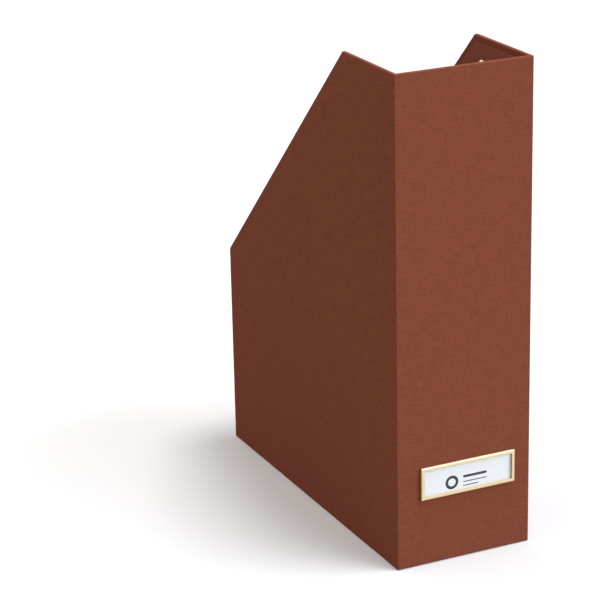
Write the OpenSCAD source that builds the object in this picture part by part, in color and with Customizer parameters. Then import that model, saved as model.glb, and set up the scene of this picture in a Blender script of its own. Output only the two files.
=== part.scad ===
// Magazine file holder: a cloth-covered board file with a sloping top and a label frame.
// Millimetres. The origin is at the centre of the underside, +Z is up, and the front faces -Y.

/* [Overall size] */
// Outside width, across the two side walls
file_w = 95; // [78:1:130]
// Outside depth, from the front face to the back face
file_d = 250; // [200:1:320]
// Height of the tall front wall
front_h = 320; // [260:1:400]
// Height of the low back wall
back_h = 142; // [90:1:180]
// Length of the level part of each side wall's top edge
flat_top = 68; // [40:1:100]

/* [Boards and cloth] */
// Thickness of the wall and base boards
board_t = 2; // [1.5:0.1:3]
// Thickness of the cloth that covers the outside
cover_t = 0.4; // [0.3:0.05:0.7]
// Thickness of the lining paper
lining_t = 0.3; // [0.2:0.05:0.5]
// How far the cloth shows inside, below each top edge
turn_in = 4; // [3:0.5:12]
// How far the cloth is folded under the base
turn_under = 15; // [10:1:25]
// Thickness of the sheet glued over the underside
base_cover_t = 0.3; // [0.2:0.05:0.6]
// How far that sheet stays back from the outside faces
base_cover_in = 3; // [1:0.5:8]

/* [Corner stays] */
// Thickness of the stay tape
stay_t = 0.15; // [0.1:0.05:0.25]
// Width of the tape on each side of its corner
stay_leg = 10; // [8:1:20]
// How far the tape stops below the board's top edge
stay_drop = 3; // [2:0.5:10]

/* [Closing flap and rivets] */
// Thickness of the flap inside the right wall
flap_t = 0.8; // [0.6:0.1:1.5]
// Distance from the flap's rear edge to where the side walls begin to slope
flap_back = 5.5; // [3:0.5:20]
// Diameter of the rivets' domed caps
cap_d = 8; // [6:0.5:10]
// Height of the caps' straight edge
cap_edge = 0.3; // [0.2:0.1:0.6]
// Height of the caps' dome above that edge
cap_rise = 0.8; // [0.4:0.1:1.2]
// Diameter of the rivets' posts
post_d = 3; // [2:0.25:4]
// How far a post's end goes into its outer cap
post_grip = 0.6; // [0.3:0.1:0.8]
// Radial clearance of a post in the layers that it holds
post_gap = 0.05; // [0.02:0.01:0.1]
// Distance from the flap's rear edge to the rivets' centres
rivet_in = 6.5; // [5:0.5:12]
// Distance from the front wall's top edge down to the upper rivet
rivet_drop = 18; // [12:1:40]
// Height of the lower rivet above the underside
rivet_rise = 25; // [14:1:60]

/* [Label frame] */
// Outside width of the frame
frame_w = 67.5; // [50:0.5:70]
// Outside height of the frame
frame_h = 22; // [16:0.5:40]
// Distance from the middle of the front wall to the middle of the frame
frame_x = 2.2; // [-3:0.1:3]
// Height of the frame's bottom edge above the underside
frame_z = 45; // [20:1:150]
// How far the frame stands proud of the cloth
frame_proud = 2; // [1.5:0.1:3]
// Thickness of the frame's sheet metal
frame_t = 0.5; // [0.4:0.05:0.6]
// Width of the rim in front of the card
rim = 2.4; // [1.5:0.1:4]
// Radius of the frame's outer corners
frame_r = 0.9; // [0.6:0.1:2]
// Width of each fixing prong
prong_w = 3; // [2:0.5:5]
// Length of each prong's bent foot
prong_foot = 3.5; // [2:0.5:6]
// Distance between the centres of the two prongs on one side
prong_pitch = 12; // [8:0.5:14]
// Clearance round each prong in the board
prong_gap = 0.1; // [0.05:0.05:0.2]

/* [Label card] */
// Thickness of the card
card_t = 0.5; // [0.2:0.05:0.6]
// Clearance at each end of the card
card_end_gap = 0.5; // [0.2:0.1:1]
// Clearance between the card and the cloth behind it
card_back_gap = 0.15; // [0.1:0.05:0.3]
// How far the card's top edge stays below the frame's top edge
card_drop = 0.5; // [0.2:0.1:2]

/* [Hidden] */

board_colour = [0.60, 0.57, 0.52];
cloth_colour = [0.53, 0.30, 0.23];
paper_colour = [0.49, 0.27, 0.21];
tape_colour = [0.72, 0.60, 0.44];
brass_colour = [0.83, 0.66, 0.33];
card_colour = [0.95, 0.95, 0.94];

// Depth of each layer below the outside of a wall
skin = cover_t;
board_in = skin + board_t;
wall_t = board_in + lining_t;

// Heights of the layers of the base, from the underside up
fold_z = base_cover_t;
board_z = fold_z + cover_t;
lining_z = board_z + board_t;
floor_z = lining_z + lining_t;

half_w = file_w / 2;
half_d = file_d / 2;

// The slope of the side walls' top edge, and how much longer it is than its run
knee_y = flat_top - half_d;
fall = (front_h - back_h) / (file_d - flat_top);
slant = sqrt(1 + fall * fall);

// The flap lies against the right wall's lining
flap_x = half_w - wall_t - flap_t;
flap_face_x = flap_x - lining_t;
flap_y = wall_t - half_d;
flap_end_y = knee_y - flap_back;
flap_top_z = front_h - turn_in;

rivet_y = flap_end_y - rivet_in;
rivet_heights = [rivet_rise, front_h - rivet_drop];
dome_r = (cap_d * cap_d / 4 + cap_rise * cap_rise) / (2 * cap_rise);

frame_left = frame_x - frame_w / 2;
frame_front_y = -half_d - frame_proud;
prong_heights = [for (side = [-1, 1]) frame_z + frame_h / 2 + side * prong_pitch / 2];

// More than any wall is thick, for cuts that run out into the open
beyond = 5;
round_fn = 160;

// ---- Shared shapes ----

// Height of the sloping edge at y, moved inwards by down
function slope_z(y, down) = front_h - (y - knee_y) * fall - down * slant;

// Where the level edge meets the sloping edge, both moved inwards by down
function knee(down) = knee_y + down * (1 - slant) / fall;

// Side wall's outline as [y, z]: ends is the inset front and back, down the inset of the top edges
function side_outline(ends, down, low) = [
    [ends - half_d, low],
    [ends - half_d, front_h - down],
    [knee(down), front_h - down],
    [half_d - ends, slope_z(half_d - ends, down)],
    [half_d - ends, low]
];

// A plate of that outline, from x0 to x1
module side_plate(outline, x0, x1) {
    translate([x0, 0, 0])
        rotate([90, 0, 90])
            linear_extrude(x1 - x0)
                polygon(outline);
}

// A box given by its lowest and highest corners
module block(low, high) {
    translate(low) cube(high - low);
}

// Takes children drawn for the left wall, and mirrors them to the right wall when side is 1
module on_side(side) {
    mirror([side > 0 ? 1 : 0, 0, 0]) children();
}

// Domed cap standing on z = 0
module dome() {
    intersection() {
        cylinder(d = cap_d, h = cap_edge + cap_rise, $fn = round_fn);
        translate([0, 0, cap_edge + cap_rise - dome_r])
            sphere(r = dome_r, $fn = round_fn);
    }
}

// Places its children at each rivet, with their +Z pointing out of the right wall
module at_rivets(x) {
    for (z = rivet_heights)
        translate([x, rivet_y, z])
            rotate([0, 90, 0])
                children();
}

// The holes that the posts pass through
module rivet_holes() {
    at_rivets(flap_face_x - beyond)
        cylinder(d = post_d + 2 * post_gap, h = wall_t + flap_t + lining_t + 2 * beyond, $fn = round_fn);
}

// One prong on the frame's left side: a blade through the wall and a foot bent along the board.
// grow makes the slit and pocket that it lies in.
module prong(z, grow) {
    half = prong_w / 2 + grow;
    inner_y = board_in - half_d;
    block(
        [frame_left - grow, -half_d, z - half],
        [frame_left + frame_t + grow, inner_y, z + half]
    );
    block(
        [frame_left - grow, inner_y - frame_t - grow, z - half],
        [frame_left + prong_foot + grow, inner_y, z + half]
    );
}

// All four prongs
module prongs(grow = 0) {
    for (side = [0, 1])
        translate([side * 2 * frame_x, 0, 0])
            mirror([side, 0, 0])
                for (z = prong_heights)
                    prong(z, grow);
}

// Rectangle with round corners, its lower left corner at the origin
module round_rect(w, h, r) {
    translate([r, 0]) square([w - 2 * r, h]);
    translate([0, r]) square([w, h - 2 * r]);
    for (x = [r, w - r])
        for (y = [r, h - r])
            translate([x, y]) circle(r = r, $fn = round_fn);
}

// ---- Boards ----

module side_board(side) {
    on_side(side)
        side_plate(side_outline(skin, skin, board_z), skin - half_w, board_in - half_w);
}

// Front or back wall's board, between the side boards
module end_board(y, top_z) {
    block([board_in - half_w, y, board_z], [half_w - board_in, y + board_t, top_z]);
}

module front_board() {
    color(board_colour)
        difference() {
            end_board(skin - half_d, front_h - skin);
            prongs(prong_gap);
        }
}

module back_board() {
    color(board_colour)
        end_board(half_d - board_in, back_h - skin);
}

module left_board() {
    color(board_colour)
        side_board(-1);
}

module right_board() {
    color(board_colour)
        difference() {
            side_board(1);
            rivet_holes();
        }
}

module base_board() {
    color(board_colour)
        block(
            [board_in - half_w, board_in - half_d, board_z],
            [half_w - board_in, half_d - board_in, lining_z]
        );
}

module closing_flap() {
    color(board_colour)
        difference() {
            block([flap_x, flap_y, floor_z], [flap_x + flap_t, flap_end_y, flap_top_z]);
            rivet_holes();
        }
}

// ---- Corner stays ----

// One strip folded round the corner at the lower left, from the base board's level to top_z
module stay(top_z) {
    difference() {
        block([skin - stay_t, skin - stay_t, board_z], [skin + stay_leg, skin + stay_leg, top_z]);
        block(
            [skin, skin, board_z - beyond],
            [skin + stay_leg + beyond, skin + stay_leg + beyond, top_z + beyond]
        );
    }
}

module all_stays() {
    for (x_side = [0, 1])
        mirror([x_side, 0, 0]) {
            translate([-half_w, -half_d, 0]) stay(front_h - skin - stay_drop);
            mirror([0, 1, 0])
                translate([-half_w, -half_d, 0])
                    stay(back_h - skin - stay_drop);
        }
}

// The prongs pierce the tape where they meet it
module corner_stays() {
    color(tape_colour)
        difference() {
            all_stays();
            prongs(prong_gap);
        }
}

// ---- Lining ----

module side_lining(side) {
    on_side(side)
        side_plate(side_outline(wall_t, turn_in, floor_z), board_in - half_w, wall_t - half_w);
}

// Lining of the front or back wall, between the side boards
module end_lining(y, top_z) {
    block([board_in - half_w, y, floor_z], [half_w - board_in, y + lining_t, top_z]);
}

// One sheet lines the front wall, turns the corner and covers the closing flap
module front_lining() {
    color(paper_colour)
        difference() {
            union() {
                end_lining(board_in - half_d, flap_top_z);
                block([flap_face_x, board_in - half_d, floor_z], [flap_x, flap_end_y, flap_top_z]);
            }
            rivet_holes();
        }
}

module back_lining() {
    color(paper_colour)
        end_lining(half_d - wall_t, back_h - turn_in);
}

module left_lining() {
    color(paper_colour)
        side_lining(-1);
}

module right_lining() {
    color(paper_colour)
        difference() {
            side_lining(1);
            rivet_holes();
        }
}

module base_lining() {
    color(paper_colour)
        block(
            [board_in - half_w, board_in - half_d, lining_z],
            [half_w - board_in, half_d - board_in, floor_z]
        );
}

// ---- Cloth and underside ----

// Everything inside the walls, open at the top, and the step down to the back wall
module hollow() {
    block(
        [wall_t - half_w, wall_t - half_d, floor_z],
        [half_w - wall_t, half_d - wall_t, front_h + beyond]
    );
    block(
        [wall_t - half_w, half_d - wall_t - beyond, back_h],
        [half_w - wall_t, half_d + beyond, front_h + beyond]
    );
}

// The cloth is what is left of the whole block round the boards, stays and linings
module outer_cover() {
    color(cloth_colour)
        difference() {
            side_plate(side_outline(0, 0, fold_z), -half_w, half_w);
            hollow();
            for (side = [-1, 1]) {
                side_board(side);
                side_lining(side);
            }
            end_board(skin - half_d, front_h - skin);
            end_board(half_d - board_in, back_h - skin);
            end_lining(board_in - half_d, front_h - turn_in);
            end_lining(half_d - wall_t, back_h - turn_in);
            base_board();
            base_lining();
            base_infill();
            all_stays();
            prongs(prong_gap);
            rivet_holes();
        }
}

module base_infill() {
    color(board_colour)
        block(
            [turn_under - half_w, turn_under - half_d, fold_z],
            [half_w - turn_under, half_d - turn_under, board_z]
        );
}

module base_cover() {
    color(paper_colour)
        block(
            [base_cover_in - half_w, base_cover_in - half_d, 0],
            [half_w - base_cover_in, half_d - base_cover_in, base_cover_t]
        );
}

// ---- Label frame and card ----

// The frame's outline as a solid plate, from the cloth out to the rim's front
module frame_plate() {
    translate([frame_left, -half_d, frame_z])
        rotate([90, 0, 0])
            linear_extrude(frame_proud)
                round_rect(frame_w, frame_h, frame_r);
}

// A rim all round, walls on three sides, and an open slot behind the rim's top rail
module label_frame() {
    channel_top = frame_z + frame_h + beyond;
    color(brass_colour) {
        difference() {
            frame_plate();
            block(
                [frame_left + rim, frame_front_y - beyond, frame_z + rim],
                [frame_left + frame_w - rim, frame_front_y + frame_t, frame_z + frame_h - rim]
            );
            block(
                [frame_left + frame_t, frame_front_y + frame_t, frame_z + frame_t],
                [frame_left + frame_w - frame_t, beyond - half_d, channel_top]
            );
        }
        prongs();
    }
}

module label_card() {
    back_y = -half_d - card_back_gap;
    end = frame_t + card_end_gap;
    color(card_colour)
        block(
            [frame_left + end, back_y - card_t, frame_z + frame_t],
            [frame_left + frame_w - end, back_y, frame_z + frame_h - card_drop]
        );
}

// ---- Rivets ----

module rivet_posts() {
    post_l = half_w - flap_face_x + post_grip;
    color(brass_colour)
        at_rivets(flap_face_x) {
            cylinder(d = post_d, h = post_l, $fn = round_fn);
            mirror([0, 0, 1]) dome();
        }
}

module rivet_caps() {
    color(brass_colour)
        at_rivets(half_w)
            difference() {
                dome();
                translate([0, 0, -beyond])
                    cylinder(d = post_d, h = beyond + post_grip, $fn = round_fn);
            }
}

front_board();
back_board();
left_board();
right_board();
base_board();
closing_flap();
corner_stays();
outer_cover();
base_infill();
base_cover();
front_lining();
back_lining();
left_lining();
right_lining();
base_lining();
label_frame();
label_card();
rivet_posts();
rivet_caps();
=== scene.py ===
# %% [markdown]
# # A cloth-covered magazine file
# This file stands on a desk and keeps magazines upright. It is made the way a bookbinder makes a box:
# stiff grey boards are joined into a shell, a terracotta book cloth is glued round the outside and folded
# over every edge, and paper lines the inside. A small brass frame on the front holds a label card.
#
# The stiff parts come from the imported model, which is the fixed frame. Blender adds the looks: true
# thin cloth with rounded folds, bevelled brass, domed rivets, and finishes made from nodes.

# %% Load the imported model
from math import asin, cos, pi, radians, sin, sqrt

import bmesh
import bpy
from mathutils import Matrix, Vector


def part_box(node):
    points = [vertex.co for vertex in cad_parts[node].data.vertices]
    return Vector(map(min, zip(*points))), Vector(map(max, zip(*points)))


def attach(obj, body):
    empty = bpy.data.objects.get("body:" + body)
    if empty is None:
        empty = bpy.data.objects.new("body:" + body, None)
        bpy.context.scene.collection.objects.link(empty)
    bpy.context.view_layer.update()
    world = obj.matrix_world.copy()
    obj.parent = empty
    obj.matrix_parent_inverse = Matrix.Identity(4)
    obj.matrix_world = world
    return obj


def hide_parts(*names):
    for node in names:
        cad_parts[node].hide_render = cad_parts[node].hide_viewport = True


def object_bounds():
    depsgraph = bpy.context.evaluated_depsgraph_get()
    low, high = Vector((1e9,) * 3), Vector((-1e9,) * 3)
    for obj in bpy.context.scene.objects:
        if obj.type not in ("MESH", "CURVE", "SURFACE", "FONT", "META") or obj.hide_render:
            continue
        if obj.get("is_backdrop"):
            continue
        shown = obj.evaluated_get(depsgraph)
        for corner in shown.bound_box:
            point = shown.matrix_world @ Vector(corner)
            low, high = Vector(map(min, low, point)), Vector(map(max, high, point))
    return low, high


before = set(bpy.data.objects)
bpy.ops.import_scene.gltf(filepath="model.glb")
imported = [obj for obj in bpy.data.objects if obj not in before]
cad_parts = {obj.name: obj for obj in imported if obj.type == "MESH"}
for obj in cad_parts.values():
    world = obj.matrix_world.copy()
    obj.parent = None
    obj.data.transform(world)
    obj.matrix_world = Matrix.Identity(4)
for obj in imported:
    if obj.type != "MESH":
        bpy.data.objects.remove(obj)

MM = 0.001
cad_low, cad_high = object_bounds()
print("model box, mm:", [round(side / MM, 1) for side in cad_high - cad_low])

# %% [markdown]
# ## Measure the model
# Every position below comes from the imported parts, so the looks always sit on the real model. A box
# gives most sizes. The slope of the side walls starts at the last point of the cloth's level top edge.

# %% Sizes of the shell
cloth_low, cloth_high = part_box("outer_cover")
lining_low, lining_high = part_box("left_lining")
infill_low, infill_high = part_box("base_infill")

TOUCH = 0.01 * MM
top_points = [v.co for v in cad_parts["outer_cover"].data.vertices if v.co.z > cloth_high.z - TOUCH]
knee_y = max(point.y for point in top_points)
board_drop = cloth_high.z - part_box("front_board")[1].z
back_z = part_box("back_board")[1].z + board_drop
wall = lining_high.x - cloth_low.x
turn_in = cloth_high.z - lining_high.z
turn_under = infill_low.x - cloth_low.x
fall = (cloth_high.z - back_z) / (cloth_high.y - knee_y)
slant = sqrt(1 + fall * fall)
slope_normal = Vector((0, fall, 1)) / slant
print("wall, turn-in, turn-under, mm:", [round(s / MM, 2) for s in (wall, turn_in, turn_under)])
print("slope starts at y", round(knee_y / MM, 1), "and ends at z", round(back_z / MM, 1))

# %% [markdown]
# ## Camera
# The file is seen from a little to its left and from above. A long lens keeps its edges nearly
# parallel, as in catalogue pictures of desk goods. The camera is aimed by angles round the object and
# tilted by a small roll.

# %% Place the camera
LENS = 137.5
DISTANCE = 1551.0 * MM
AIM = Vector((-42.5, 9.4, 132.8)) * MM
AZIMUTH = radians(-25.32)
ELEVATION = radians(19.58)
ROLL = radians(-1.20)

back = Vector((sin(AZIMUTH) * cos(ELEVATION), -cos(AZIMUTH) * cos(ELEVATION), sin(ELEVATION)))
level_right = Vector((cos(AZIMUTH), sin(AZIMUTH), 0))
level_up = back.cross(level_right)
right = level_right * cos(ROLL) + level_up * sin(ROLL)
up = back.cross(right)

camera = bpy.data.objects.new("camera", bpy.data.cameras.new("camera"))
bpy.context.scene.collection.objects.link(camera)
camera.data.lens = LENS
camera.data.sensor_width = 36.0
turn = Matrix((right, up, back)).transposed()
camera.matrix_world = Matrix.Translation(AIM + back * DISTANCE) @ turn.to_4x4()
bpy.context.scene.camera = camera
print("camera at, mm:", [round(value / MM) for value in camera.matrix_world.translation])

# %% [markdown]
# ## Helpers for nodes
# A finish is a small network of nodes. These helpers add a node, set its inputs and connect it in one
# call, so the finishes below read as recipes. An input is either a number, or the output of another
# node.

# %% Add a node and connect it
def add_node(tree, kind, settings=None, **inputs):
    node = tree.nodes.new("ShaderNode" + kind)
    for name, value in (settings or {}).items():
        setattr(node, name, value)
    for name, value in inputs.items():
        key = int(name[1:]) if name[1:].isdigit() else name.replace("_", " ")
        connect(tree, value, node.inputs[key])
    return node


def connect(tree, value, socket):
    if isinstance(value, bpy.types.NodeSocket):
        tree.links.new(value, socket)
    else:
        socket.default_value = value


def calculate(tree, operation, *values):
    node = tree.nodes.new("ShaderNodeMath")
    node.operation = operation
    for value, socket in zip(values, node.inputs):
        connect(tree, value, socket)
    return node.outputs[0]


def spread(tree, value, low, high, new_low=0.0, new_high=1.0):
    """Stretches the part of value from low to high over new_low to new_high."""
    node = add_node(tree, "MapRange", i0=value, i1=low, i2=high, i3=new_low, i4=new_high)
    return node.outputs[0]


def mix_colours(tree, factor, first, second):
    node = add_node(tree, "Mix", {"data_type": "RGBA"}, i0=factor, i6=first, i7=second)
    return node.outputs[2]


def tint(tree, base, mask, share, colour):
    """Mixes up to a share of the colour into the base, where the mask is bright."""
    return mix_colours(tree, calculate(tree, "MULTIPLY", mask, share), base, colour)


def shade(colour, factor):
    """The same colour, lighter or darker."""
    return tuple(min(part * factor, 1.0) for part in colour[:3]) + (1.0,)

# %% Start a node group with named inputs and outputs
def new_group(name, inputs, outputs):
    group = bpy.data.node_groups.new(name, "ShaderNodeTree")
    for label, kind, value in inputs:
        socket = group.interface.new_socket(label, in_out="INPUT", socket_type="NodeSocket" + kind)
        if value is not None:
            socket.default_value = value
    for label, kind in outputs:
        group.interface.new_socket(label, in_out="OUTPUT", socket_type="NodeSocket" + kind)
    given = group.nodes.new("NodeGroupInput").outputs
    result = group.nodes.new("NodeGroupOutput").inputs
    return group, given, result


def use_group(tree, group, **inputs):
    node = tree.nodes.new("ShaderNodeGroup")
    node.node_tree = group
    for name, value in inputs.items():
        connect(tree, value, node.inputs[name.replace("_", " ")])
    return node.outputs

# %% [markdown]
# ## Light
# A studio for a product picture is a white room with a few large soft lamps. The key lamp hangs almost
# overhead and a little to the right, so the shadow falls to the left and stays short. A wide, cool fill
# from the front right gives the front its brightness, and two weaker fills lift the side that is turned
# away and the shadow behind. The view transform is the standard one, so the colours stay as they are mixed.
#
# The room itself is a white world. It could be one plain background, but a lamp-lit room is brighter to
# look at and in a reflection than it is as a source of light, so each kind of ray gets its own strength.

# %% Even light from the room
ROOM_LIGHT = 0.45
ROOM_SEEN = 1.25
ROOM_GLOSS = 0.95

scene = bpy.context.scene
scene.view_settings.view_transform = "Standard"
world = bpy.data.worlds.new("white_room")
scene.world = world
world.use_nodes = True
room = world.node_tree
room.nodes.clear()
room_output = room.nodes.new("ShaderNodeOutputWorld")
room_pick = room.nodes.new("ShaderNodeMixShader")
room_light = room.nodes.new("ShaderNodeBackground")
room_seen = room.nodes.new("ShaderNodeBackground")
room_path = room.nodes.new("ShaderNodeLightPath")
room_seen.inputs["Strength"].default_value = ROOM_SEEN
for background in (room_light, room_seen):
    background.inputs["Color"].default_value = (1, 1, 1, 1)
room.links.new(room_path.outputs["Is Camera Ray"], room_pick.inputs[0])
room.links.new(room_light.outputs[0], room_pick.inputs[1])
room.links.new(room_seen.outputs[0], room_pick.inputs[2])
in_gloss = room_path.outputs["Is Glossy Ray"]
room_strength = calculate(room, "MULTIPLY_ADD", in_gloss, ROOM_GLOSS - ROOM_LIGHT, ROOM_LIGHT)
room.links.new(room_strength, room_light.inputs["Strength"])
room.links.new(room_pick.outputs[0], room_output.inputs[0])
print("room strength: as light", ROOM_LIGHT, "in reflections", ROOM_GLOSS, "to the camera", ROOM_SEEN)

# %% Four soft lamps
NEUTRAL = (1.0, 1.0, 1.0)
COOL = (0.95, 1.03, 1.14)
WARM = (1.0, 0.86, 0.72)
LAMPS = {
    "key_lamp": (Vector((0.224, -0.129, 0.966)), 1.54, 20, NEUTRAL),
    "front_fill": (Vector((0.60, -0.70, 0.40)), 2.28, 60, COOL),
    "left_fill": (Vector((-0.60, 0.20, 0.77)), 0.32, 60, WARM),
    "back_fill": (Vector((-0.20, 0.80, 0.55)), 0.85, 60, NEUTRAL),
}
SEEN_IN_GLOSS = ("key_lamp", "front_fill")
for name, (direction, strength, spread_degrees, colour) in LAMPS.items():
    lamp = bpy.data.objects.new(name, bpy.data.lights.new(name, "SUN"))
    scene.collection.objects.link(lamp)
    lamp.data.energy = strength
    lamp.data.color = colour
    lamp.data.angle = radians(spread_degrees)
    lamp.rotation_mode = "QUATERNION"
    lamp.rotation_quaternion = direction.normalized().to_track_quat("Z", "Y")
    lamp.visible_glossy = name in SEEN_IN_GLOSS
    print(name, "strength", strength, "spread, degrees:", spread_degrees)

# %% [markdown]
# ## Flat coordinates on every wall
# Cloth and paper have a direction, so their pattern needs two flat coordinates on each wall. They come
# from the object's own position: whichever way a face looks, its two other directions are used. This
# needs no unwrapping, and the threads run level and upright on every wall.

# %% Group: flat coordinates, in millimetres
STEEP = 0.6
SIDE_LAYER = 7.0
flat_coords, given, result = new_group(
    "flat_coordinates",
    [("Position", "Vector", None), ("Normal", "Vector", None)],
    [("Flat", "Vector"), ("Solid", "Vector")],
)
in_mm = add_node(flat_coords, "VectorMath", {"operation": "SCALE"}, i0=given["Position"], Scale=1 / MM)
place = add_node(flat_coords, "SeparateXYZ", i0=in_mm.outputs[0]).outputs
facing = add_node(flat_coords, "VectorMath", {"operation": "ABSOLUTE"}, i0=given["Normal"])
look = add_node(flat_coords, "SeparateXYZ", i0=facing.outputs[0]).outputs
on_end = calculate(flat_coords, "GREATER_THAN", look[1], STEEP)
on_level = calculate(flat_coords, "GREATER_THAN", look[2], STEEP)
on_side = calculate(flat_coords, "GREATER_THAN", look[0], STEEP)
not_side = calculate(flat_coords, "SUBTRACT", 1.0, on_side)
across_side = calculate(flat_coords, "MULTIPLY", place[1], on_side)
across = calculate(flat_coords, "MULTIPLY_ADD", place[0], not_side, across_side)
not_level = calculate(flat_coords, "SUBTRACT", 1.0, on_level)
up_level = calculate(flat_coords, "MULTIPLY", place[1], on_level)
upright = calculate(flat_coords, "MULTIPLY_ADD", place[2], not_level, up_level)
layer = calculate(flat_coords, "MULTIPLY_ADD", on_side, SIDE_LAYER, on_end)
flat = add_node(flat_coords, "CombineXYZ", i0=across, i1=upright, i2=layer)
flat_coords.links.new(flat.outputs[0], result["Flat"])
flat_coords.links.new(in_mm.outputs[0], result["Solid"])
print("group", flat_coords.name, "puts out", [socket.name for socket in result][:2])

# %% [markdown]
# ## Woven cloth
# Book cloth is a plain weave: each thread passes over one crossing thread and under the next. The
# height of such a cloth can be written down: a thread is round across its width, and it rises and sinks
# along its length. The crossing threads do the opposite, and the higher of the two shows. Real yarn isn't
# even, so slow noise along each thread makes it thicker, thinner, lighter and darker. A second, wider
# noise gives slubs, the thick lengths of yarn that make such cloth look handmade.

# %% Group: woven cloth
SUNKEN = 0.25
WANDER = (0.9, 0.9, 0.0)
CROSSING_SOFT = 0.15
SLUB_WIDTH = 1.9
SLUB_STRETCH = 1.6


def thread_set(tree, across, along, shift):
    """Height of one set of threads, and the number of the thread at each point."""
    number = calculate(tree, "FLOOR", across)
    round_wave = calculate(tree, "SINE", calculate(tree, "MULTIPLY", across, pi))
    roundness = calculate(tree, "ABSOLUTE", round_wave)
    phase = calculate(tree, "ADD", calculate(tree, "ADD", along, number), shift)
    rise = calculate(tree, "COSINE", calculate(tree, "MULTIPLY", phase, pi))
    lift = spread(tree, rise, -1.0, 1.0, SUNKEN, 1.0)
    return calculate(tree, "MULTIPLY", roundness, lift), number


woven, given, result = new_group(
    "woven_cloth",
    [
        ("Flat", "Vector", None),
        ("Thread spacing", "Float", 0.5),
        ("Unevenness", "Float", 0.3),
        ("Slub length", "Float", 9.0),
    ],
    [("Height", "Float"), ("Thread tone", "Float"), ("Gap shade", "Float"), ("Slub", "Float")],
)
wander = add_node(woven, "TexNoise", {"noise_dimensions": "2D"}, i0=given["Flat"], Scale=0.25, Detail=2.0)
wander_by = add_node(woven, "VectorMath", {"operation": "SUBTRACT"}, i0=wander.outputs["Color"],
                     i1=(0.5, 0.5, 0.5))
bent = add_node(woven, "VectorMath", {"operation": "MULTIPLY_ADD"}, i0=wander_by.outputs[0],
                i1=WANDER, i2=given["Flat"])
place = add_node(woven, "SeparateXYZ", i0=bent.outputs[0]).outputs
warp_across = calculate(woven, "DIVIDE", place[0], given["Thread spacing"])
weft_across = calculate(woven, "DIVIDE", place[1], given["Thread spacing"])
warp, warp_number = thread_set(woven, warp_across, weft_across, -0.5)
weft, weft_number = thread_set(woven, weft_across, warp_across, 0.5)
tones = []
for number, along in ((warp_number, place[1]), (weft_number, place[0])):
    drawn_out = calculate(woven, "DIVIDE", along, given["Slub length"])
    yarn = add_node(woven, "CombineXYZ", i0=number, i1=drawn_out, i2=place[2])
    tone = add_node(woven, "TexNoise", i0=yarn.outputs[0], Scale=1.0, Detail=3.0, Roughness=0.6)
    tones.append(spread(woven, tone.outputs["Fac"], 0.25, 0.75))
thickened = []
for height, tone in ((warp, tones[0]), (weft, tones[1])):
    extra = calculate(woven, "MULTIPLY", calculate(woven, "SUBTRACT", tone, 0.5), given["Unevenness"])
    thickened.append(calculate(woven, "MULTIPLY", height, calculate(woven, "ADD", extra, 1.0)))
height = calculate(woven, "SMOOTH_MAX", thickened[0], thickened[1], CROSSING_SOFT)
warp_on_top = calculate(woven, "GREATER_THAN", thickened[0], thickened[1])
tone = add_node(woven, "Mix", {"data_type": "FLOAT"}, i0=warp_on_top, i2=tones[1], i3=tones[0]).outputs[0]
# Painted shade: the gap output darkens the colour in the low places between threads, where shade falls.
gap_shade = spread(woven, height, 0.55, 0.15)
thick_yarns = []
for across, along in ((place[0], place[1]), (place[1], place[0])):
    slub_wide = calculate(woven, "MULTIPLY", given["Thread spacing"], SLUB_WIDTH)
    wide = calculate(woven, "DIVIDE", across, slub_wide)
    slub_long = calculate(woven, "MULTIPLY", given["Slub length"], SLUB_STRETCH)
    drawn_out = calculate(woven, "DIVIDE", along, slub_long)
    yarn = add_node(woven, "CombineXYZ", i0=wide, i1=drawn_out, i2=place[2])
    thick = add_node(woven, "TexNoise", i0=yarn.outputs[0], Scale=1.0, Detail=2.0, Roughness=0.5)
    thick_yarns.append(thick.outputs["Fac"])
slub = spread(woven, calculate(woven, "ADD", thick_yarns[0], thick_yarns[1]), 0.80, 1.20)
for label, value in (("Height", height), ("Thread tone", tone), ("Gap shade", gap_shade), ("Slub", slub)):
    woven.links.new(value, result[label])
print("group", woven.name, "has", len(woven.nodes), "nodes")

# %% [markdown]
# ## Toning and dust
# No dyed cloth or handled paper is perfectly even. This group gives a slow cloudy change for the dye,
# and a fine speckle that settles mostly on faces that look up, like dust.

# %% Group: toning and dust
DUST_UPRIGHT = 0.04
toning, given, result = new_group(
    "toning_and_dust",
    [("Solid", "Vector", None), ("Normal", "Vector", None), ("Cloud size", "Float", 60.0)],
    [("Cloud", "Float"), ("Dust", "Float")],
)
cloud_scale = calculate(toning, "DIVIDE", 1.0, given["Cloud size"])
cloud = add_node(toning, "TexNoise", i0=given["Solid"], Scale=cloud_scale, Detail=4.0, Roughness=0.55)
cloud_value = spread(toning, cloud.outputs["Fac"], 0.3, 0.7)
specks = add_node(toning, "TexNoise", i0=given["Solid"], Scale=1.1, Detail=5.0, Roughness=0.7)
speck_value = spread(toning, specks.outputs["Fac"], 0.60, 0.78)
upward = add_node(toning, "SeparateXYZ", i0=given["Normal"]).outputs[2]
settled = spread(toning, upward, 0.2, 1.0, DUST_UPRIGHT, 1.0)
dust = calculate(toning, "MULTIPLY", speck_value, settled)
toning.links.new(cloud_value, result["Cloud"])
toning.links.new(dust, result["Dust"])
print("group", toning.name, "has", len(toning.nodes), "nodes")

# %% [markdown]
# ## Edge wear
# Cloth rubs thin and metal polishes bright where an edge is rounded. On this object every flat wall
# looks straight along an axis or straight up the slope, so a rounded edge is simply where the surface
# looks in between. The mask is broken up with noise, as real rubbing is patchy.

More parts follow.
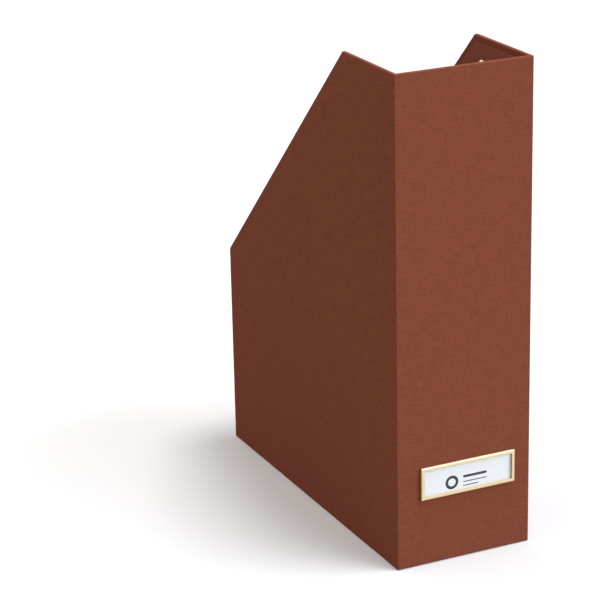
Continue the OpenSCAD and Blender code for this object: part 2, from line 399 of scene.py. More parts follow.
# %% Group: edge wear
FLAT_ENOUGH = 0.995
FULLY_ROUNDED = 0.86
edge_wear, given, result = new_group(
    "edge_wear",
    [
        ("Solid", "Vector", None),
        ("Normal", "Vector", None),
        ("Slope", "Vector", tuple(slope_normal)),
        ("Patch size", "Float", 5.0),
    ],
    [("Wear", "Float"), ("Edge", "Float")],
)
facing = add_node(edge_wear, "VectorMath", {"operation": "ABSOLUTE"}, i0=given["Normal"])
look = add_node(edge_wear, "SeparateXYZ", i0=facing.outputs[0]).outputs
flatness = calculate(edge_wear, "MAXIMUM", look[0], calculate(edge_wear, "MAXIMUM", look[1], look[2]))
to_slope = add_node(edge_wear, "VectorMath", {"operation": "DOT_PRODUCT"}, i0=given["Normal"],
                    i1=given["Slope"])
flatness = calculate(edge_wear, "MAXIMUM", flatness, to_slope.outputs["Value"])
edge = spread(edge_wear, flatness, FLAT_ENOUGH, FULLY_ROUNDED)
patch_scale = calculate(edge_wear, "DIVIDE", 1.0, given["Patch size"])
patches = add_node(edge_wear, "TexNoise", i0=given["Solid"], Scale=patch_scale, Detail=5.0, Roughness=0.65)
patch = spread(edge_wear, patches.outputs["Fac"], 0.38, 0.66)
edge_wear.links.new(calculate(edge_wear, "MULTIPLY", edge, patch), result["Wear"])
edge_wear.links.new(edge, result["Edge"])
print("group", edge_wear.name, "has", len(edge_wear.nodes), "nodes")

# %% [markdown]
# ## Paper fibres
# Paper, card and grey board are felted fibres. Short streaks in two crossing directions, and a few
# darker specks, read as fibres at arm's length and still hold up close.

# %% Group: paper fibres
FIBRE_ANGLES = (0.6, 2.0)
SPECK_SIZE = 0.28
fibres, given, result = new_group(
    "paper_fibres",
    [
        ("Flat", "Vector", None),
        ("Fibre size", "Float", 0.35),
        ("Fibre length", "Float", 5.0),
    ],
    [("Height", "Float"), ("Fibre tone", "Float"), ("Speck", "Float")],
)
fibre_scale = calculate(fibres, "DIVIDE", 1.0, given["Fibre size"])
streaks = []
for angle in FIBRE_ANGLES:
    turned = add_node(fibres, "VectorRotate", {"rotation_type": "Z_AXIS"}, Vector=given["Flat"],
                      Angle=angle)
    parts = add_node(fibres, "SeparateXYZ", i0=turned.outputs[0]).outputs
    drawn = calculate(fibres, "DIVIDE", parts[0], given["Fibre length"])
    line = add_node(fibres, "CombineXYZ", i0=drawn, i1=parts[1], i2=parts[2])
    streak = add_node(fibres, "TexNoise", i0=line.outputs[0], Scale=fibre_scale, Detail=3.0, Roughness=0.6)
    streaks.append(streak.outputs["Fac"])
felt = calculate(fibres, "MULTIPLY", calculate(fibres, "ADD", streaks[0], streaks[1]), 0.5)
tone = spread(fibres, felt, 0.35, 0.65)
speckle = add_node(fibres, "TexVoronoi", {"feature": "F1"}, i0=given["Flat"], Scale=0.45)
speck_size = calculate(fibres, "MULTIPLY", streaks[0], SPECK_SIZE)
speck = calculate(fibres, "LESS_THAN", speckle.outputs["Distance"], speck_size)
fibres.links.new(felt, result["Height"])
fibres.links.new(tone, result["Fibre tone"])
fibres.links.new(speck, result["Speck"])
print("group", fibres.name, "has", len(fibres.nodes), "nodes")

# %% [markdown]
# ## Brushed metal
# The brass is polished sheet: nearly a mirror, with very fine drawn lines along its length, and a
# slight warm tarnish in patches.

# %% Group: brushed metal
brushed, given, result = new_group(
    "brushed_metal",
    [("Solid", "Vector", None), ("Line length", "Float", 14.0), ("Line spacing", "Float", 0.12)],
    [("Height", "Float"), ("Lines", "Float"), ("Tarnish", "Float")],
)
parts = add_node(brushed, "SeparateXYZ", i0=given["Solid"]).outputs
long = calculate(brushed, "DIVIDE", parts[0], given["Line length"])
deep = calculate(brushed, "DIVIDE", parts[1], given["Line spacing"])
high = calculate(brushed, "DIVIDE", parts[2], given["Line spacing"])
drawn = add_node(brushed, "CombineXYZ", i0=long, i1=deep, i2=high)
lines = add_node(brushed, "TexNoise", i0=drawn.outputs[0], Scale=1.0, Detail=2.0)
stains = add_node(brushed, "TexNoise", i0=given["Solid"], Scale=0.22, Detail=4.0, Roughness=0.6)
brushed.links.new(lines.outputs["Fac"], result["Height"])
brushed.links.new(spread(brushed, lines.outputs["Fac"], 0.3, 0.7), result["Lines"])
brushed.links.new(spread(brushed, stains.outputs["Fac"], 0.42, 0.72), result["Tarnish"])
print("group", brushed.name, "has", len(brushed.nodes), "nodes")

# %% [markdown]
# ## Finishes
# Each finish starts in the same way: a surface shader, the object's own coordinates, and the flat
# coordinates. Then it mixes the groups above with its own values. The relief is a Bump node whose
# distance is the real depth of the relief.

# %% Start a material
def new_finish(name, **shader_values):
    material = bpy.data.materials.new(name)
    material.use_nodes = True
    tree = material.node_tree
    tree.nodes.clear()
    output = tree.nodes.new("ShaderNodeOutputMaterial")
    shader = tree.nodes.new("ShaderNodeBsdfPrincipled")
    for label, value in shader_values.items():
        shader.inputs[label.replace("_", " ")].default_value = value
    tree.links.new(shader.outputs[0], output.inputs[0])
    own = tree.nodes.new("ShaderNodeTexCoord").outputs
    coords = use_group(tree, flat_coords, Position=own["Object"], Normal=own["Normal"])
    return material, tree, shader.inputs, own["Normal"], coords


def add_relief(tree, sockets, height, depth, strength=1.0):
    bump = add_node(tree, "Bump", Height=height, Distance=depth, Strength=strength)
    tree.links.new(bump.outputs[0], sockets["Normal"])

# %% Terracotta book cloth
CLOTH = (0.230, 0.0655, 0.0362, 1)
CLOTH_SHEEN = (0.95, 0.70, 0.58, 1)

DUST = (0.45, 0.36, 0.30, 1)
RUBBED_CLOTH = (0.40, 0.17, 0.11, 1)

cloth, tree, sockets, normal, coords = new_finish(
    "terracotta_cloth", Sheen_Weight=0.003, Sheen_Roughness=0.45, Sheen_Tint=CLOTH_SHEEN,
    Specular_IOR_Level=0.05,
)
weave = use_group(
    tree, woven, Flat=coords["Flat"], Thread_spacing=0.52, Unevenness=0.45, Slub_length=8.0,
)
clouds = use_group(tree, toning, Solid=coords["Solid"], Normal=normal, Cloud_size=70.0)
wear = use_group(tree, edge_wear, Solid=coords["Solid"], Normal=normal, Patch_size=6.0)
threads = mix_colours(tree, weave["Thread tone"], shade(CLOTH, 0.78), shade(CLOTH, 1.29))
slubbed = tint(tree, threads, weave["Slub"], 0.30, shade(CLOTH, 1.6))
# Painted shade between the threads: the colour is darkened where the weave sinks.
gap_shaded = tint(tree, slubbed, weave["Gap shade"], 0.45, shade(CLOTH, 0.45))
dyed = tint(tree, gap_shaded, clouds["Cloud"], 0.10, shade(CLOTH, 1.35))
dusty = tint(tree, dyed, clouds["Dust"], 0.10, DUST)
rubbed = tint(tree, dusty, wear["Wear"], 0.16, RUBBED_CLOTH)
tree.links.new(rubbed, sockets["Base Color"])
tree.links.new(spread(tree, weave["Thread tone"], 0.0, 1.0, 0.78, 0.92), sockets["Roughness"])
add_relief(tree, sockets, weave["Height"], 0.10 * MM, 0.95)
print("finish", cloth.name, "has", len(tree.nodes), "nodes")

# %% Papers, boards and tape
ROUGHNESS_RANGE = 0.1
AGED = 0.78


def paper_finish(name, colour, specks, contrast, roughness, relief, fibre_size=0.35, dark_speck=0.5,
                 cloudy=0.12):
    material, tree, sockets, normal, coords = new_finish(name, Specular_IOR_Level=0.2)
    felt = use_group(tree, fibres, Flat=coords["Flat"], Fibre_size=fibre_size)
    clouds = use_group(tree, toning, Solid=coords["Solid"], Normal=normal, Cloud_size=45.0)
    light, dark = shade(colour, 1 + contrast), shade(colour, 1 - contrast)
    fibred = mix_colours(tree, felt["Fibre tone"], dark, light)
    specked = tint(tree, fibred, felt["Speck"], specks, shade(colour, dark_speck))
    toned = tint(tree, specked, clouds["Cloud"], cloudy, shade(colour, AGED))
    tree.links.new(toned, sockets["Base Color"])
    rough = spread(tree, felt["Fibre tone"], 0.0, 1.0, roughness, roughness + ROUGHNESS_RANGE)
    tree.links.new(rough, sockets["Roughness"])
    add_relief(tree, sockets, felt["Height"], relief, 0.7)
    print("finish", material.name, "has", len(tree.nodes), "nodes")
    return material


# The lining is lighter than the cloth. This is partly painted light, making up for the dimmer light inside
# the box.
lining_paper = paper_finish(
    "lining_paper", (0.270, 0.072, 0.038, 1), specks=0.25, contrast=0.12, roughness=0.72, relief=0.06 * MM,
)
# Painted shade: the flap's paper is a much darker copy of the lining colour, so that its one visible edge
# reads as shade inside the box.
shaded_flap_paper = paper_finish(
    "shaded_flap_paper", (0.120, 0.033, 0.018, 1), specks=0.25, contrast=0.12, roughness=0.80, relief=0.06 * MM,
)
underside_paper = paper_finish(
    "underside_paper", (0.060, 0.045, 0.040, 1), specks=0.20, contrast=0.15, roughness=0.78,
    relief=0.06 * MM,
)
grey_board = paper_finish(
    "grey_board", (0.30, 0.27, 0.23, 1), specks=0.7, contrast=0.18, roughness=0.82, relief=0.12 * MM,
    fibre_size=0.5,
)
kraft_tape = paper_finish(
    "kraft_tape", (0.48, 0.30, 0.16, 1), specks=0.5, contrast=0.15, roughness=0.55, relief=0.05 * MM,
)
white_card = paper_finish(
    "white_card", (0.94, 0.965, 0.975, 1), specks=0.03, contrast=0.015, roughness=0.42,
    relief=0.015 * MM, fibre_size=0.25, dark_speck=0.7, cloudy=0.03,
)

# %% Polished brass
# The darker side colour is painted shade for the edges of the sheet, not a different metal.
SIDE_SHADE_BRASS = (0.33, 0.185, 0.030, 1)
BRASS = (0.82, 0.68, 0.43, 1)
TARNISH = (0.72, 0.48, 0.22, 1)
RUBBED_BRASS = (1.0, 0.88, 0.66, 1)
SHADE_DOWN_SHARE = -0.8
SHADE_UP_SHARE = 0.6


def brass_finish(name, colour, line_length, painted_side_shade):
    """Polished in front. The sides of the sheet are rougher and get a painted shade of darker brass, by the
    share given in the last argument.
    """
    material, tree, sockets, normal, coords = new_finish(name, Metallic=1.0)
    metal = use_group(tree, brushed, Solid=coords["Solid"], Line_length=line_length)
    wear = use_group(tree, edge_wear, Solid=coords["Solid"], Normal=normal, Patch_size=3.0)
    lined = mix_colours(tree, metal["Lines"], shade(colour, 0.95), shade(colour, 1.03))
    stained = tint(tree, lined, metal["Tarnish"], 0.22, TARNISH)
    bright = tint(tree, stained, wear["Wear"], 0.25, RUBBED_BRASS)
    # Painted shade: surfaces that turn sideways, down or up get darker brass, standing in for dark
    # reflections and dimming the top highlight.
    facing = add_node(tree, "VectorMath", {"operation": "ABSOLUTE"}, i0=normal)
    sideways = add_node(tree, "SeparateXYZ", i0=facing.outputs[0]).outputs[0]
    up_look = add_node(tree, "SeparateXYZ", i0=normal).outputs[2]
    downward = calculate(tree, "MULTIPLY", up_look, SHADE_DOWN_SHARE)
    upward = calculate(tree, "MULTIPLY", up_look, SHADE_UP_SHARE)
    off_front = calculate(tree, "MAXIMUM", sideways, calculate(tree, "MAXIMUM", downward, upward))
    side_shade = spread(tree, off_front, 0.12, 0.62, 0.0, painted_side_shade)
    side_shaded = mix_colours(tree, side_shade, bright, SIDE_SHADE_BRASS)
    tree.links.new(side_shaded, sockets["Base Color"])
    rough = calculate(tree, "MULTIPLY_ADD", metal["Tarnish"], 0.12, 0.25)
    rough = calculate(tree, "MULTIPLY_ADD", metal["Lines"], 0.06, rough)
    tree.links.new(calculate(tree, "MULTIPLY_ADD", side_shade, 0.35, rough), sockets["Roughness"])
    add_relief(tree, sockets, metal["Height"], 0.004 * MM, 0.35)
    print("finish", material.name, "has", len(tree.nodes), "nodes")
    return material


frame_brass = brass_finish("polished_brass", BRASS, line_length=14.0, painted_side_shade=0.9)
rivet_brass = brass_finish("rivet_brass", shade(BRASS, 1.12), line_length=2.5, painted_side_shade=0.0)

# %% Printed ink
INK = (0.035, 0.035, 0.040, 1)
ink, tree, sockets, normal, coords = new_finish("printed_ink", Specular_IOR_Level=0.35)
felt = use_group(tree, fibres, Flat=coords["Flat"], Fibre_size=0.2)
tree.links.new(mix_colours(tree, felt["Fibre tone"], INK, shade(INK, 1.6)), sockets["Base Color"])
tree.links.new(spread(tree, felt["Fibre tone"], 0.0, 1.0, 0.35, 0.55), sockets["Roughness"])
add_relief(tree, sockets, felt["Height"], 0.01 * MM, 0.5)
print("finish", ink.name, "has", len(tree.nodes), "nodes")

# %% [markdown]
# ## The floor
# A pale sweep of paper stands under the object. It is a wide, thin slab, so that it fills the view from
# every side. It glows a little, as paper does in a white room, which keeps the shadow soft and light. To
# the rays that carry its light back to the object it is darker and warmer, as real floors are.

# %% Make the floor
FLOOR_REACH = 9.0
FLOOR_THICK = 0.02
floor_mesh = bmesh.new()
bmesh.ops.create_grid(floor_mesh, x_segments=12, y_segments=12, size=FLOOR_REACH)
bmesh.ops.translate(floor_mesh, verts=floor_mesh.verts, vec=(0, 0, cad_low.z - FLOOR_THICK))
flat_faces = list(floor_mesh.faces)
raised = bmesh.ops.extrude_face_region(floor_mesh, geom=flat_faces)
top_corners = [part for part in raised["geom"] if isinstance(part, bmesh.types.BMVert)]
bmesh.ops.translate(floor_mesh, verts=top_corners, vec=(0, 0, FLOOR_THICK))
bmesh.ops.recalc_face_normals(floor_mesh, faces=floor_mesh.faces)
floor = bpy.data.objects.new("floor", bpy.data.meshes.new("floor"))
floor_mesh.to_mesh(floor.data)
floor_mesh.free()
scene.collection.objects.link(floor)
floor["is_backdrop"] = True

floor_paper, tree, sockets, normal, coords = new_finish("floor_paper", Specular_IOR_Level=0.0)
FLOOR_WHITE = (0.755, 0.755, 0.755, 1)
FLOOR_GLOW = 0.09
FLOOR_BOUNCE = (0.265, 0.235, 0.208, 1)
soft = use_group(tree, toning, Solid=coords["Solid"], Normal=normal, Cloud_size=400.0)
floor_tone = tint(tree, FLOOR_WHITE, soft["Cloud"], 0.2, shade(FLOOR_WHITE, 0.98))
sockets["Roughness"].default_value = 0.9
sockets["Emission Color"].default_value = (1, 1, 1, 1)
path = tree.nodes.new("ShaderNodeLightPath").outputs
floor_seen = mix_colours(tree, path["Is Diffuse Ray"], floor_tone, FLOOR_BOUNCE)
tree.links.new(floor_seen, sockets["Base Color"])
tree.links.new(calculate(tree, "MULTIPLY", path["Is Camera Ray"], FLOOR_GLOW), sockets["Emission Strength"])
floor.data.materials.append(floor_paper)
print("floor reaches, m:", FLOOR_REACH)

# %% [markdown]
# ## Building a piece
# Each piece is made as an edit mesh, given its modifiers, and then settled: the modifiers are worked
# out once, sharp edges are marked by angle, and a Weighted Normal modifier lets the large flat faces
# decide the shading. That keeps a flat wall truly flat right up to its rounded edge.

# %% Settle a piece and fix it to its body
SHARP_ANGLE = radians(38)


def settle(piece):
    shapes = bpy.context.evaluated_depsgraph_get()
    settled_mesh = bpy.data.meshes.new_from_object(piece.evaluated_get(shapes))
    piece.modifiers.clear()
    piece.data = settled_mesh
    settled_mesh.shade_smooth()
    settled_mesh.set_sharp_from_angle(angle=SHARP_ANGLE)
    even = piece.modifiers.new("even_shading", "WEIGHTED_NORMAL")
    even.keep_sharp = True


def make_piece(name, shape, finish, body, modifiers=(), stands_for=()):
    mesh = bpy.data.meshes.new(name)
    shape.to_mesh(mesh)
    shape.free()
    mesh.materials.append(finish)
    piece = bpy.data.objects.new(name, mesh)
    scene.collection.objects.link(piece)
    for kind, values in modifiers:
        modifier = piece.modifiers.new(kind.lower(), kind)
        for label, value in values.items():
            setattr(modifier, label, value)
    settle(piece)
    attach(piece, body)
    if stands_for:
        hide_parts(*stands_for)
    size = [round(side / MM, 1) for side in piece.dimensions]
    print("piece", name, "faces:", len(piece.data.polygons), "size, mm:", size)
    return piece

# %% [markdown]
# ## The cloth cover
# One sheet of cloth wraps all four walls. It is folded over the top edges and a few millimetres down
# inside, and it is folded under the base. A thin sheet is made best from its outer surface: the flat
# faces are listed corner by corner, the convex folds get a bevel, and a Solidify modifier gives
# the cloth its thickness inwards.

# %% Outer surface of the cover
def add_face(shape, corners, known):
    points = []
    for corner in corners:
        key = tuple(round(value / TOUCH) for value in corner)
        if key not in known:
            known[key] = shape.verts.new(corner)
        points.append(known[key])
    shape.faces.new(points)


def cover_surface():
    shape, known = bmesh.new(), {}
    left, front, low = cloth_low
    right, rear, top = cloth_high
    in_left, in_right, in_front, in_rear = left + wall, right - wall, front + wall, rear - wall
    band_top, band_rear = top - turn_in, back_z - turn_in
    band_knee = knee_y + turn_in * (1 - slant) / fall
    band_end = top - (in_rear - knee_y) * fall - turn_in * slant
    for side, inner, under in ((left, in_left, left + turn_under), (right, in_right, right - turn_under)):
        add_face(shape, [(side, front, low), (side, front, top), (side, knee_y, top),
                         (side, rear, back_z), (side, rear, low)], known)
        add_face(shape, [(side, knee_y, top), (side, rear, back_z), (inner, rear, back_z),
                         (inner, knee_y, top)], known)
        add_face(shape, [(inner, in_front, top), (inner, knee_y, top), (inner, rear, back_z),
                         (inner, in_rear, back_z), (inner, in_rear, band_end),
                         (inner, band_knee, band_top), (inner, in_front, band_top)], known)
        add_face(shape, [(side, front, low), (side, rear, low), (under, rear - turn_under, low),
                         (under, front + turn_under, low)], known)
    add_face(shape, [(left, front, low), (right, front, low), (right, front, top),
                     (left, front, top)], known)
    add_face(shape, [(left, rear, low), (right, rear, low), (right, rear, back_z),
                     (in_right, rear, back_z), (in_left, rear, back_z), (left, rear, back_z)], known)
    add_face(shape, [(left, knee_y, top), (left, front, top), (right, front, top), (right, knee_y, top),
                     (in_right, knee_y, top), (in_right, in_front, top), (in_left, in_front, top),
                     (in_left, knee_y, top)], known)
    add_face(shape, [(in_left, in_rear, back_z), (in_right, in_rear, back_z), (in_right, rear, back_z),
                     (in_left, rear, back_z)], known)
    add_face(shape, [(in_left, in_front, band_top), (in_right, in_front, band_top),
                     (in_right, in_front, top), (in_left, in_front, top)], known)
    add_face(shape, [(in_left, in_rear, band_rear), (in_right, in_rear, band_rear),
                     (in_right, in_rear, band_end), (in_right, in_rear, back_z),
                     (in_left, in_rear, back_z), (in_left, in_rear, band_end)], known)
    for edge_y, inside_y in ((front, front + turn_under), (rear, rear - turn_under)):
        add_face(shape, [(left, edge_y, low), (right, edge_y, low), (right - turn_under, inside_y, low),
                         (left + turn_under, inside_y, low)], known)
    bmesh.ops.recalc_face_normals(shape, faces=shape.faces)
    left_wall = min(shape.faces, key=lambda face: face.calc_center_median().x)
    if left_wall.normal.x > 0:
        bmesh.ops.reverse_faces(shape, faces=shape.faces)
    return shape

# %% Choose the folds to round
CORNER_ROUND = 0.85 * MM
TOP_SHARE = 0.75
KNEE_SHARE = 0.25
FOLD_ANGLE = radians(20)
CLOTH_THICK = 0.30 * MM
STRAIGHT = 0.99


def mark_folds(shape):
    weights = shape.edges.layers.float.new("bevel_weight_edge")
    folds = 0
    for edge in shape.edges:
        if len(edge.link_faces) == 2 and edge.calc_face_angle_signed() > FOLD_ANGLE:
            along = (edge.verts[0].co - edge.verts[1].co).normalized()
            at_knee = abs(along.x) > STRAIGHT and abs(edge.verts[0].co.y - knee_y) < TOUCH
            edge[weights] = 1.0 if abs(along.z) > STRAIGHT else KNEE_SHARE if at_knee else TOP_SHARE
            folds += 1
    return folds


cover = cover_surface()
print("cover has", len(cover.faces), "flat faces and", mark_folds(cover), "folds to round")
rounding = ("BEVEL", {"width": CORNER_ROUND, "segments": 4, "limit_method": "WEIGHT"})
thickness = ("SOLIDIFY", {"thickness": CLOTH_THICK, "offset": -1.0, "use_even_offset": True})
make_piece("cloth_cover", cover, cloth, "holder", [rounding, thickness], ["outer_cover"])

# %% [markdown]
# ## The brass frame
# The label frame is stamped from thin sheet: a front with a window, and a folded side wall on three
# sides, so that the card can slide in at the top. It is built as rows of points that follow the
# outline, each row a little further round the section of the sheet. Rounded edges can then be as wide
# as they really are, and a metal edge that catches the light is what makes it look real. The four
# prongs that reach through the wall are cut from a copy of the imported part.

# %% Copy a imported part, welded and with its flat faces joined
def welded_copy(node):
    shape = bmesh.new()
    shape.from_mesh(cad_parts[node].data)
    bmesh.ops.remove_doubles(shape, verts=shape.verts, dist=TOUCH)
    bmesh.ops.dissolve_limit(shape, angle_limit=radians(0.3), verts=shape.verts, edges=shape.edges)
    return shape


def rounded_copy(node, name, finish, width, segments=3, body="holder"):
    soften = {"width": width, "segments": segments, "limit_method": "ANGLE", "angle_limit": radians(30)}
    return make_piece(name, welded_copy(node), finish, body, [("BEVEL", soften)], [node])

# %% Sizes of the stamped sheet
SHEET = 0.5 * MM
RIM = 2.4 * MM
FRAME_CORNER = 0.9 * MM
WINDOW_CORNER = 0.25 * MM
RIM_ROUND = 0.85 * MM
WINDOW_ROUND = 0.2 * MM
CORNER_STEPS = 8
ROUND_STEPS = 5
SHEET_ANGLE = asin(1 - SHEET / RIM_ROUND)
WALL_STEPS = 3
OPEN_FROM = 6
OPEN_TO = 2 * (CORNER_STEPS + 1) - 1 - OPEN_FROM

frame_low, frame_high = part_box("label_frame")
print("frame, mm:", [round(side / MM, 1) for side in frame_high - frame_low])

# %% Rows of points round the frame
def outline_row(inset, radius, y):
    """Points round the frame's outline, from its right side over the top, with round corners."""
    right, left = frame_high.x - inset - radius, frame_low.x + inset + radius
    head, foot = frame_high.z - inset - radius, frame_low.z + inset + radius
    row = []
    for quarter, (x, z) in enumerate(((right, head), (left, head), (left, foot), (right, foot))):
        for step in range(CORNER_STEPS + 1):
            angle = pi / 2 * (quarter + step / CORNER_STEPS)
            row.append((x + radius * cos(angle), y, z + radius * sin(angle)))
    return row


def rim_row(angle, face_y):
    """One row on the rounded outer edge. The angle is 0 on the side wall and 90 degrees on the front."""
    inset = RIM_ROUND * (1 - cos(angle))
    return outline_row(inset, FRAME_CORNER - inset, face_y + RIM_ROUND * (1 - sin(angle)))


def front_rows(face_y):
    """The front sheet in section: from its outer edge over the front and into the window to its back."""
    rows = []
    for step in range(ROUND_STEPS + 1):
        rows.append(rim_row(SHEET_ANGLE + (pi / 2 - SHEET_ANGLE) * step / ROUND_STEPS, face_y))
    for step in range(ROUND_STEPS + 1):
        angle = pi / 2 * step / ROUND_STEPS
        back_off = WINDOW_ROUND * (1 - sin(angle))
        y = face_y + WINDOW_ROUND * (1 - cos(angle))
        rows.append(outline_row(RIM - back_off, WINDOW_CORNER + back_off, y))
    rows.append(outline_row(RIM, WINDOW_CORNER, face_y + SHEET))
    rows.append(outline_row(SHEET, FRAME_CORNER - SHEET, face_y + SHEET))
    return rows


def wall_rows(face_y, wall_y):
    """The folded side wall in section: down its inside, across its foot and up its rounded outside."""
    rows = [outline_row(SHEET, FRAME_CORNER - SHEET, wall_y), outline_row(0, FRAME_CORNER, wall_y)]
    for step in range(WALL_STEPS):
        rows.append(rim_row(SHEET_ANGLE * step / WALL_STEPS, face_y))
    return rows


print("rows over the front:", len(front_rows(frame_low.y)),
      "and on the side wall:", len(wall_rows(frame_low.y, cloth_low.y)))

# %% Join the rows into a closed frame
def add_strip(shape, first, second, starts):
    for start in starts:
        end = (start + 1) % len(first)
        shape.faces.new((first[start], first[end], second[end], second[start]))


def frame_shape():
    shape = bmesh.new()
    front = [[shape.verts.new(point) for point in row] for row in front_rows(frame_low.y)]
    count = len(front[0])
    walled = [i for i in range(count) if i < OPEN_FROM or i >= OPEN_TO]
    side = []
    for row in wall_rows(frame_low.y, cloth_low.y):
        side.append([shape.verts.new(point) if i in walled or i == OPEN_FROM else None
                     for i, point in enumerate(row)])
    for first, second in zip(front, front[1:]):
        add_strip(shape, first, second, range(count))
    add_strip(shape, front[-1], front[0], [i for i in range(count) if i not in walled])
    side = [front[-1]] + side + [front[0]]
    for first, second in zip(side, side[1:]):
        add_strip(shape, first, second, walled)
    for end in (OPEN_FROM, OPEN_TO):
        shape.faces.new([row[end] for row in side])
    return shape

# %% Add the prongs and finish the frame
CUT_DEPTH = 0.05 * MM
prongs = welded_copy("label_frame")
everything = list(prongs.verts) + list(prongs.edges) + list(prongs.faces)
cut_y = cloth_low.y + CUT_DEPTH
cut = bmesh.ops.bisect_plane(
    prongs, geom=everything, plane_co=(0, cut_y, 0), plane_no=(0, -1, 0), clear_outer=True,
)
cut_edges = [part for part in cut["geom_cut"] if isinstance(part, bmesh.types.BMEdge)]
bmesh.ops.holes_fill(prongs, edges=cut_edges, sides=0)
for corner in prongs.verts:
    if abs(corner.co.y - cut_y) < TOUCH:
        corner.co.y = cloth_low.y
prong_mesh = bpy.data.meshes.new("prongs")
prongs.to_mesh(prong_mesh)
prongs.free()

brass = frame_shape()
brass.from_mesh(prong_mesh)
bpy.data.meshes.remove(prong_mesh)
bmesh.ops.recalc_face_normals(brass, faces=brass.faces)
print("frame edges left open:", sum(len(edge.link_faces) != 2 for edge in brass.edges))
make_piece("brass_frame", brass, frame_brass, "holder", (), ["label_frame"])

# %% [markdown]
# ## The label card
# The card slides down behind the frame's rim. Its print is generic: a small ring and three plain
# rules, as on a blank index label. Each printed shape is a separate, very thin layer of ink on the
# card, so it has crisp edges at any distance and rides with the card.

# %% The card and its print
INK_THICK = 0.03 * MM
SHEET_EDGE = 0.05 * MM
rounded_copy("label_card", "paper_card", white_card, SHEET_EDGE, 2, "card")
card_low, card_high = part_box("label_card")


def raise_outline(shape):
    """Gives flat faces in the plane of the card their thickness, towards the front."""
    raised = bmesh.ops.extrude_face_region(shape, geom=list(shape.faces))
    moved = [part for part in raised["geom"] if isinstance(part, bmesh.types.BMVert)]
    bmesh.ops.translate(shape, verts=moved, vec=(0, -INK_THICK, 0))
    bmesh.ops.recalc_face_normals(shape, faces=shape.faces)


def ring_print(name, centre_x, centre_z, outer, inner, steps=48):
    shape, rings = bmesh.new(), []
    for radius in (outer, inner):
        ring = []
        for i in range(steps):
            angle = 2 * pi * i / steps
            corner = (centre_x + radius * cos(angle), card_low.y, centre_z + radius * sin(angle))
            ring.append(shape.verts.new(corner))
        rings.append(ring)
    for i in range(steps):
        j = (i + 1) % steps
        shape.faces.new((rings[0][i], rings[0][j], rings[1][j], rings[1][i]))
    raise_outline(shape)
    return make_piece(name, shape, ink, "card")


def rule_print(name, start_x, end_x, centre_z, height, steps=8):
    """A printed rule with half-round ends."""
    shape, half, corners = bmesh.new(), height / 2, []
    for end, first in ((end_x - half, -pi / 2), (start_x + half, pi / 2)):
        for i in range(steps + 1):
            angle = first + pi * i / steps
            corner = (end + half * cos(angle), card_low.y, centre_z + half * sin(angle))
            corners.append(shape.verts.new(corner))
    shape.faces.new(corners)
    raise_outline(shape)
    return make_piece(name, shape, ink, "card")


# %% Print a ring and three rules
PRINT_DROP = 3.0 * MM
RING_IN = 21.5 * MM
RING_OUTER = 4.6 * MM
RING_INNER = 2.7 * MM
RULES = ((29.5, 46.5, 2.4, 1.7), (29.5, 46.5, -1.2, 0.6), (29.5, 40.5, -3.8, 0.6))
print_z = (card_low.z + card_high.z) / 2 - PRINT_DROP
ring_print("print_ring", card_low.x + RING_IN, print_z, RING_OUTER, RING_INNER)
for number, (start, end, rise, height) in enumerate(RULES):
    start_x, end_x = card_low.x + start * MM, card_low.x + end * MM
    rule_print(f"print_rule_{number}", start_x, end_x, print_z + rise * MM, height * MM)

# %% [markdown]
# ## The rivets
# Two rivets hold the closing flap to the right wall. A rivet is a turned part, so it is made as on a
# lathe: half of its outline is drawn once and swept round its axis. The post ends in a dome inside
# the box, and a domed cap closes it outside.

# %% Turn a rivet on the lathe
post_low, post_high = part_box("rivet_posts")
cap_low, cap_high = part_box("rivet_caps")
CAP_RADIUS = (cap_high.y - cap_low.y) / 2
POST_RADIUS = 1.5 * MM
CAP_EDGE = 0.3 * MM
CAP_TALL = cap_high.x - cap_low.x
EDGE_ROLL = 0.12 * MM
ROLL_SHARE = 0.3
POST_CHAMFER = 0.1 * MM
TURNS = 64
rivet_y = (cap_low.y + cap_high.y) / 2
rivet_heights = (cap_low.z + CAP_RADIUS, cap_high.z - CAP_RADIUS)


def dome_outline(steps=12):
    """From the rim to the top of the dome: (radius, height)."""
    rise = CAP_TALL - CAP_EDGE
    sphere = (CAP_RADIUS ** 2 + rise ** 2) / (2 * rise)
    softened = EDGE_ROLL * ROLL_SHARE
    points = [(CAP_RADIUS, 0.0), (CAP_RADIUS, CAP_EDGE - EDGE_ROLL),
              (CAP_RADIUS - softened, CAP_EDGE - softened)]
    for i in range(1, steps):
        radius = (CAP_RADIUS - EDGE_ROLL) * (1 - i / steps)
        points.append((radius, CAP_TALL - sphere + sqrt(sphere ** 2 - radius ** 2)))
    return points + [(0.0, CAP_TALL)]


def turn_outline(shape, outline, base_x, z, direction):
    """Sweeps (radius, height) points round the rivet's axis. The direction is 1 outwards, -1 inwards."""
    rows = []
    for radius, height in outline:
        x = base_x + direction * height
        if radius == 0:
            rows.append([shape.verts.new((x, rivet_y, z))])
            continue
        row = []
        for i in range(TURNS):
            angle = 2 * pi * i / TURNS
            row.append(shape.verts.new((x, rivet_y + radius * cos(angle), z + radius * sin(angle))))
        rows.append(row)
    for lower, upper in zip(rows, rows[1:]):
        for i in range(TURNS):
            j = (i + 1) % TURNS
            corners = [lower[i % len(lower)], lower[j % len(lower)],
                       upper[j % len(upper)], upper[i % len(upper)]]
            shape.faces.new(list(dict.fromkeys(corners)))


def rivet_shape(profile, base_x, direction):
    shape = bmesh.new()
    for z in rivet_heights:
        turn_outline(shape, profile, base_x, z, direction)
    bmesh.ops.recalc_face_normals(shape, faces=shape.faces)
    return shape


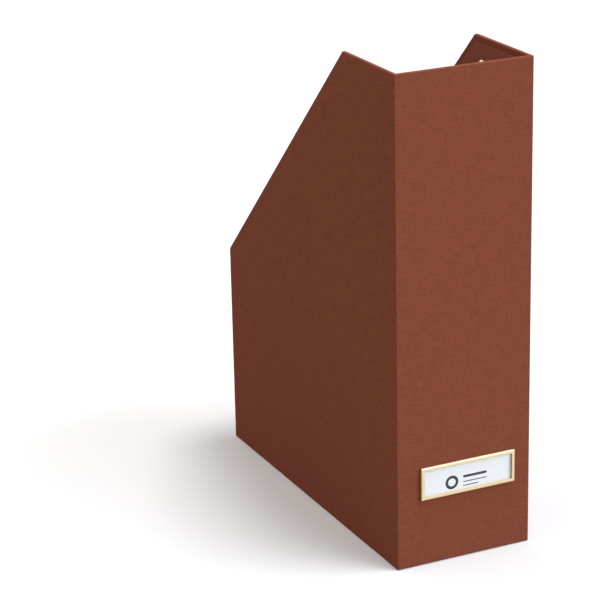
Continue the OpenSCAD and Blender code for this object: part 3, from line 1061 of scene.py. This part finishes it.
head_x = post_low.x + CAP_TALL
post_end = -(post_high.x - head_x)
SOCKET = post_high.x - cap_low.x
post_outline = [(0.0, post_end), (POST_RADIUS - POST_CHAMFER, post_end),
                (POST_RADIUS, post_end + POST_CHAMFER), (POST_RADIUS, 0.0)] + dome_outline()
cap_outline = [(0.0, SOCKET), (POST_RADIUS, SOCKET), (POST_RADIUS, 0.0)] + dome_outline()
heads = rivet_shape(post_outline, head_x, -1)
covers = rivet_shape(cap_outline, cap_low.x, 1)
make_piece("rivet_heads", heads, rivet_brass, "holder", (), ["rivet_posts"])
make_piece("rivet_covers", covers, rivet_brass, "holder", (), ["rivet_caps"])

# %% [markdown]
# ## Linings, boards and stays
# The paper linings and the boards are flat sheets, cut with a guillotine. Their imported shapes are
# right, and only their cut edges need a slight softening so that they catch the light. The boards and
# the tape on their corners are hidden under the cloth, but they are finished too, because each part can
# be taken out and looked at by itself.

# %% Soften the sheets
LININGS = ("front_lining", "back_lining", "left_lining", "right_lining", "base_lining")
COVER_EDGE = 0.06 * MM
FLAP_EDGE = 0.08 * MM
for node in LININGS:
    name = node.replace("_lining", "_paper_lining")
    rounded_copy(node, name, lining_paper, SHEET_EDGE, 2)
rounded_copy("base_cover", "underside_sheet", underside_paper, COVER_EDGE, 2)
rounded_copy("closing_flap", "covered_flap", shaded_flap_paper, FLAP_EDGE, 2)

# %% Finish the boards and the tape
BOARDS = ("front_board", "back_board", "left_board", "right_board", "base_board", "base_infill")
for node in BOARDS:
    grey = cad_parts[node]
    grey.data.materials.clear()
    grey.data.materials.append(grey_board)
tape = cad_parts["corner_stays"]
tape.data.materials.clear()
tape.data.materials.append(kraft_tape)
print("boards finished:", len(BOARDS))

# %% [markdown]
# ## Check the size
# The looks should not change the size of the object. Two boxes are worked out and compared: the box of
# the imported model, and the box of everything that is shown in its place. Their difference is printed.

# %% Compare the boxes
seen_low, seen_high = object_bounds()
differences = (seen_high - seen_low) - (cad_high - cad_low)
print("model and looks differ, mm:", [round(side / MM, 2) for side in differences])
